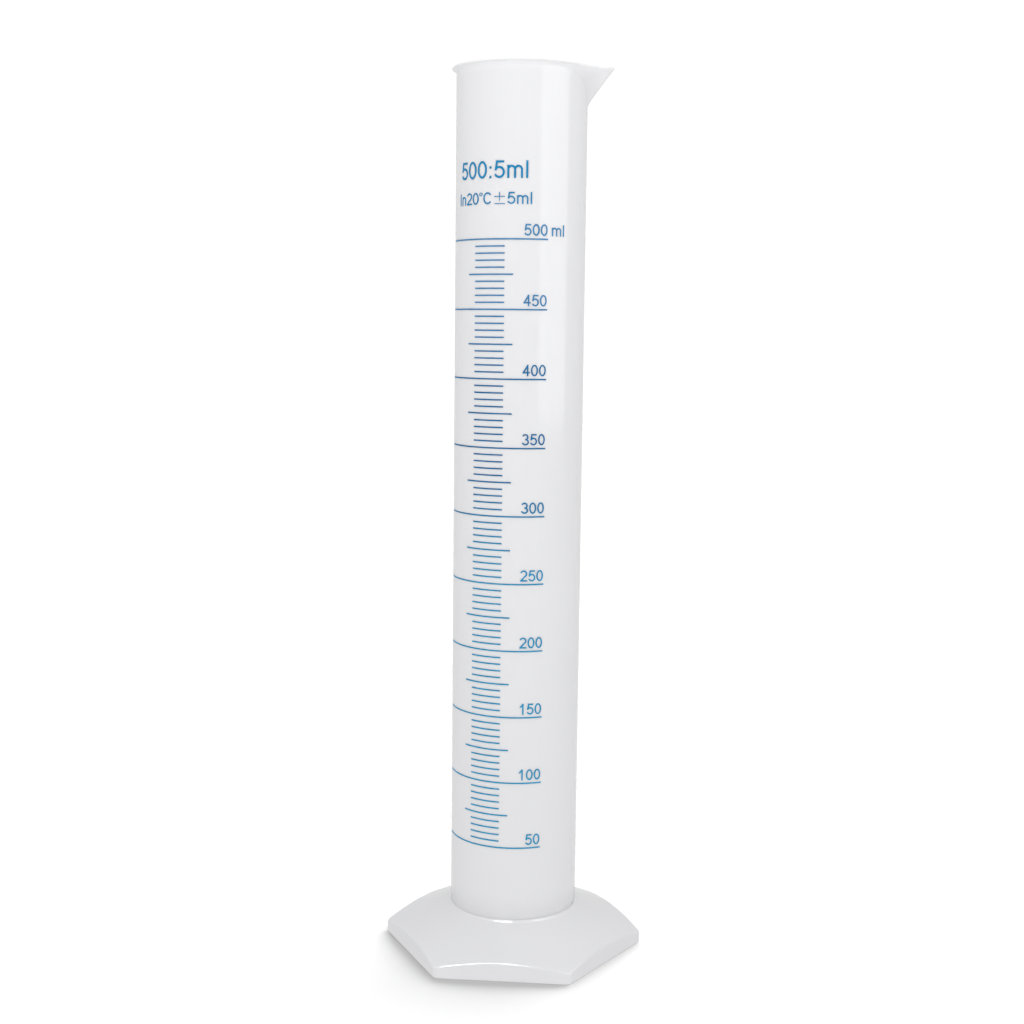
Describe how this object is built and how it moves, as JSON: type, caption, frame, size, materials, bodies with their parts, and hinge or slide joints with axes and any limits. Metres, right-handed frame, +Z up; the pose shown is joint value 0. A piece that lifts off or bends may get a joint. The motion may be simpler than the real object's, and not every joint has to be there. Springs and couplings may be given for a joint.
{
  "type": "graduated cylinder",
  "caption": "Tall translucent plastic measuring cylinder with a flared rim, a pinched pouring spout, a printed blue volume scale and a hollow hexagonal foot.",
  "frame": {"origin": "centre of the foot's underside, on the table and on the tube's axis", "axes": "+Z up the tube to the rim, +X towards the pouring spout, which is also a corner of the hexagonal foot"},
  "size_m": [0.106, 0.0926, 0.3548],
  "materials": {
    "tube_plastic": "milky translucent polypropylene, satin outside",
    "foot_plastic": "milky translucent polypropylene, satin",
    "scale_ink": "flat blue screen-printed ink"
  },
  "bodies": {
    "root": {"measuring_tube": "tube_plastic", "hexagonal_foot": "foot_plastic", "main_lines": "scale_ink", "half_lines": "scale_ink", "fine_lines": "scale_ink", "scale_numbers": "scale_ink", "unit_mark": "scale_ink", "capacity_mark": "scale_ink", "tolerance_mark": "scale_ink"}
  },
  "joints": []
}
